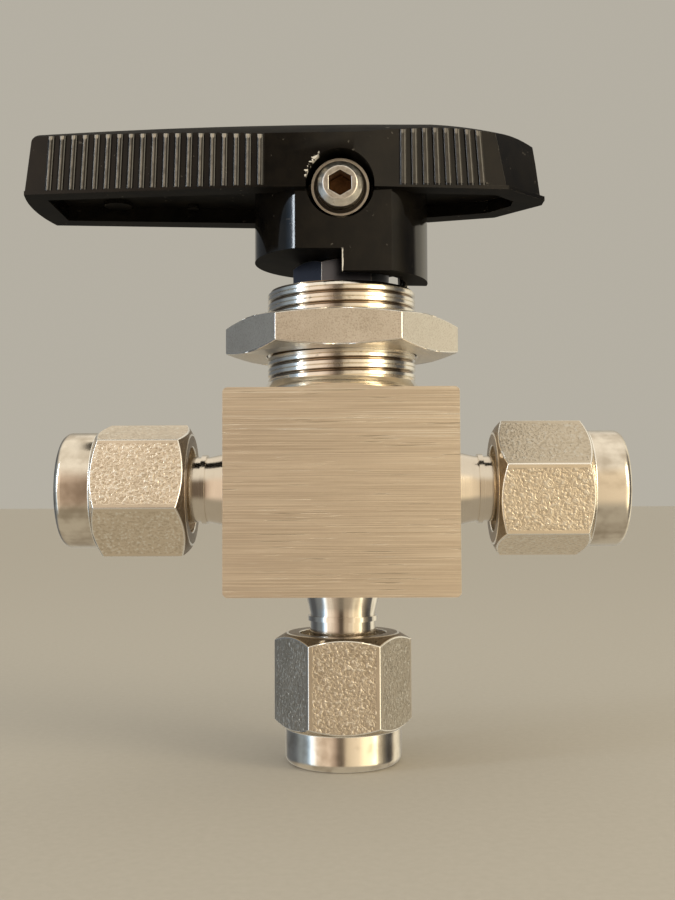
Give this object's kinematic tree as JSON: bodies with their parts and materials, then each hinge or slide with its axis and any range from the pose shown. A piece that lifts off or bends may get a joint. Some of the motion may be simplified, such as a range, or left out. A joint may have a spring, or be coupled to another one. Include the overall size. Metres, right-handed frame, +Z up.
{
  "type": "three-way ball valve",
  "caption": "Small panel-mount three-way ball valve with tube-fitting ends and a black lever handle that points to the open side port.",
  "frame": {"origin": "on the stem axis at the foot of the panel thread, 1.2 mm above the body's shoulder", "axes": "+Z up along the stem towards the handle, +X along the run towards the port that the handle points to, +Y to the back, away from the set screw"},
  "size_m": [0.0551, 0.0192, 0.0592],
  "materials": {
    "body_steel": "brushed along the run, with bright turned ends",
    "nut_steel": "pebbled forged flats and bright corners",
    "turned_steel": "bright turned stainless steel",
    "black_nylon": "semi-gloss moulded nylon, worn along the ribs",
    "packing_plastic": "off-white fluoropolymer",
    "bushing_plastic": "tan engineering plastic"
  },
  "bodies": {
    "body": {"valve_body": "body_steel", "right_stop_pin": "turned_steel", "rear_stop_pin": "turned_steel", "lower_packing": "packing_plastic", "upper_packing": "packing_plastic", "bushing": "bushing_plastic", "gland": "turned_steel", "lower_spring": "turned_steel", "upper_spring": "turned_steel", "packing_bolt": "turned_steel", "left_side_ring": "turned_steel", "left_side_disc": "turned_steel", "right_side_ring": "turned_steel", "right_side_disc": "turned_steel", "bottom_side_ring": "turned_steel", "bottom_side_disc": "turned_steel"},
    "handle": {"handle": "black_nylon", "handle_insert": "turned_steel", "set_screw": "turned_steel", "ball_stem": "turned_steel"},
    "panel_nut": {"panel_nut": "nut_steel"},
    "left_ferrules": {"left_front_ferrule": "turned_steel", "left_back_ferrule": "turned_steel"},
    "left_nut": {"left_nut": "nut_steel"},
    "right_ferrules": {"right_front_ferrule": "turned_steel", "right_back_ferrule": "turned_steel"},
    "right_nut": {"right_nut": "nut_steel"},
    "bottom_ferrules": {"bottom_front_ferrule": "turned_steel", "bottom_back_ferrule": "turned_steel"},
    "bottom_nut": {"bottom_nut": "nut_steel"}
  },
  "joints": [
    {"name": "handle_turn", "type": "hinge", "parent": "body", "child": "handle", "pos_m": [0, 0, 0], "axis": [0, 0, 1], "range_deg": [-180, 0]},
    {"name": "panel_nut_slide", "type": "slide", "parent": "body", "child": "panel_nut", "axis": [0, 0, 1], "range_m": [-0.0022, 0.0033]},
    {"name": "left_nut_travel", "type": "slide", "parent": "body", "child": "left_ferrules", "axis": [-1, 0, 0], "range_m": [0, 0.00571]},
    {"name": "left_nut_turn", "type": "hinge", "parent": "left_ferrules", "child": "left_nut", "pos_m": [-0.026, 0, -0.0101], "axis": [-1, 0, 0], "range_deg": [-5, 1625]},
    {"name": "right_nut_travel", "type": "slide", "parent": "body", "child": "right_ferrules", "axis": [1, 0, 0], "range_m": [0, 0.00571]},
    {"name": "right_nut_turn", "type": "hinge", "parent": "right_ferrules", "child": "right_nut", "pos_m": [0.026, 0, -0.0101], "axis": [1, 0, 0], "range_deg": [-5, 1625]},
    {"name": "bottom_nut_travel", "type": "slide", "parent": "body", "child": "bottom_ferrules", "axis": [0, 0, -1], "range_m": [0, 0.00571]},
    {"name": "bottom_nut_turn", "type": "hinge", "parent": "bottom_ferrules", "child": "bottom_nut", "pos_m": [0, 0, -0.03535], "axis": [0, 0, -1], "range_deg": [-5, 1625]}
  ],
  "couplings": [
    {"joint": "left_nut_turn", "follows": "left_nut_travel", "rad_per_m": 4947.4},
    {"joint": "right_nut_turn", "follows": "right_nut_travel", "rad_per_m": 4947.4},
    {"joint": "bottom_nut_turn", "follows": "bottom_nut_travel", "rad_per_m": 4947.4}
  ]
}
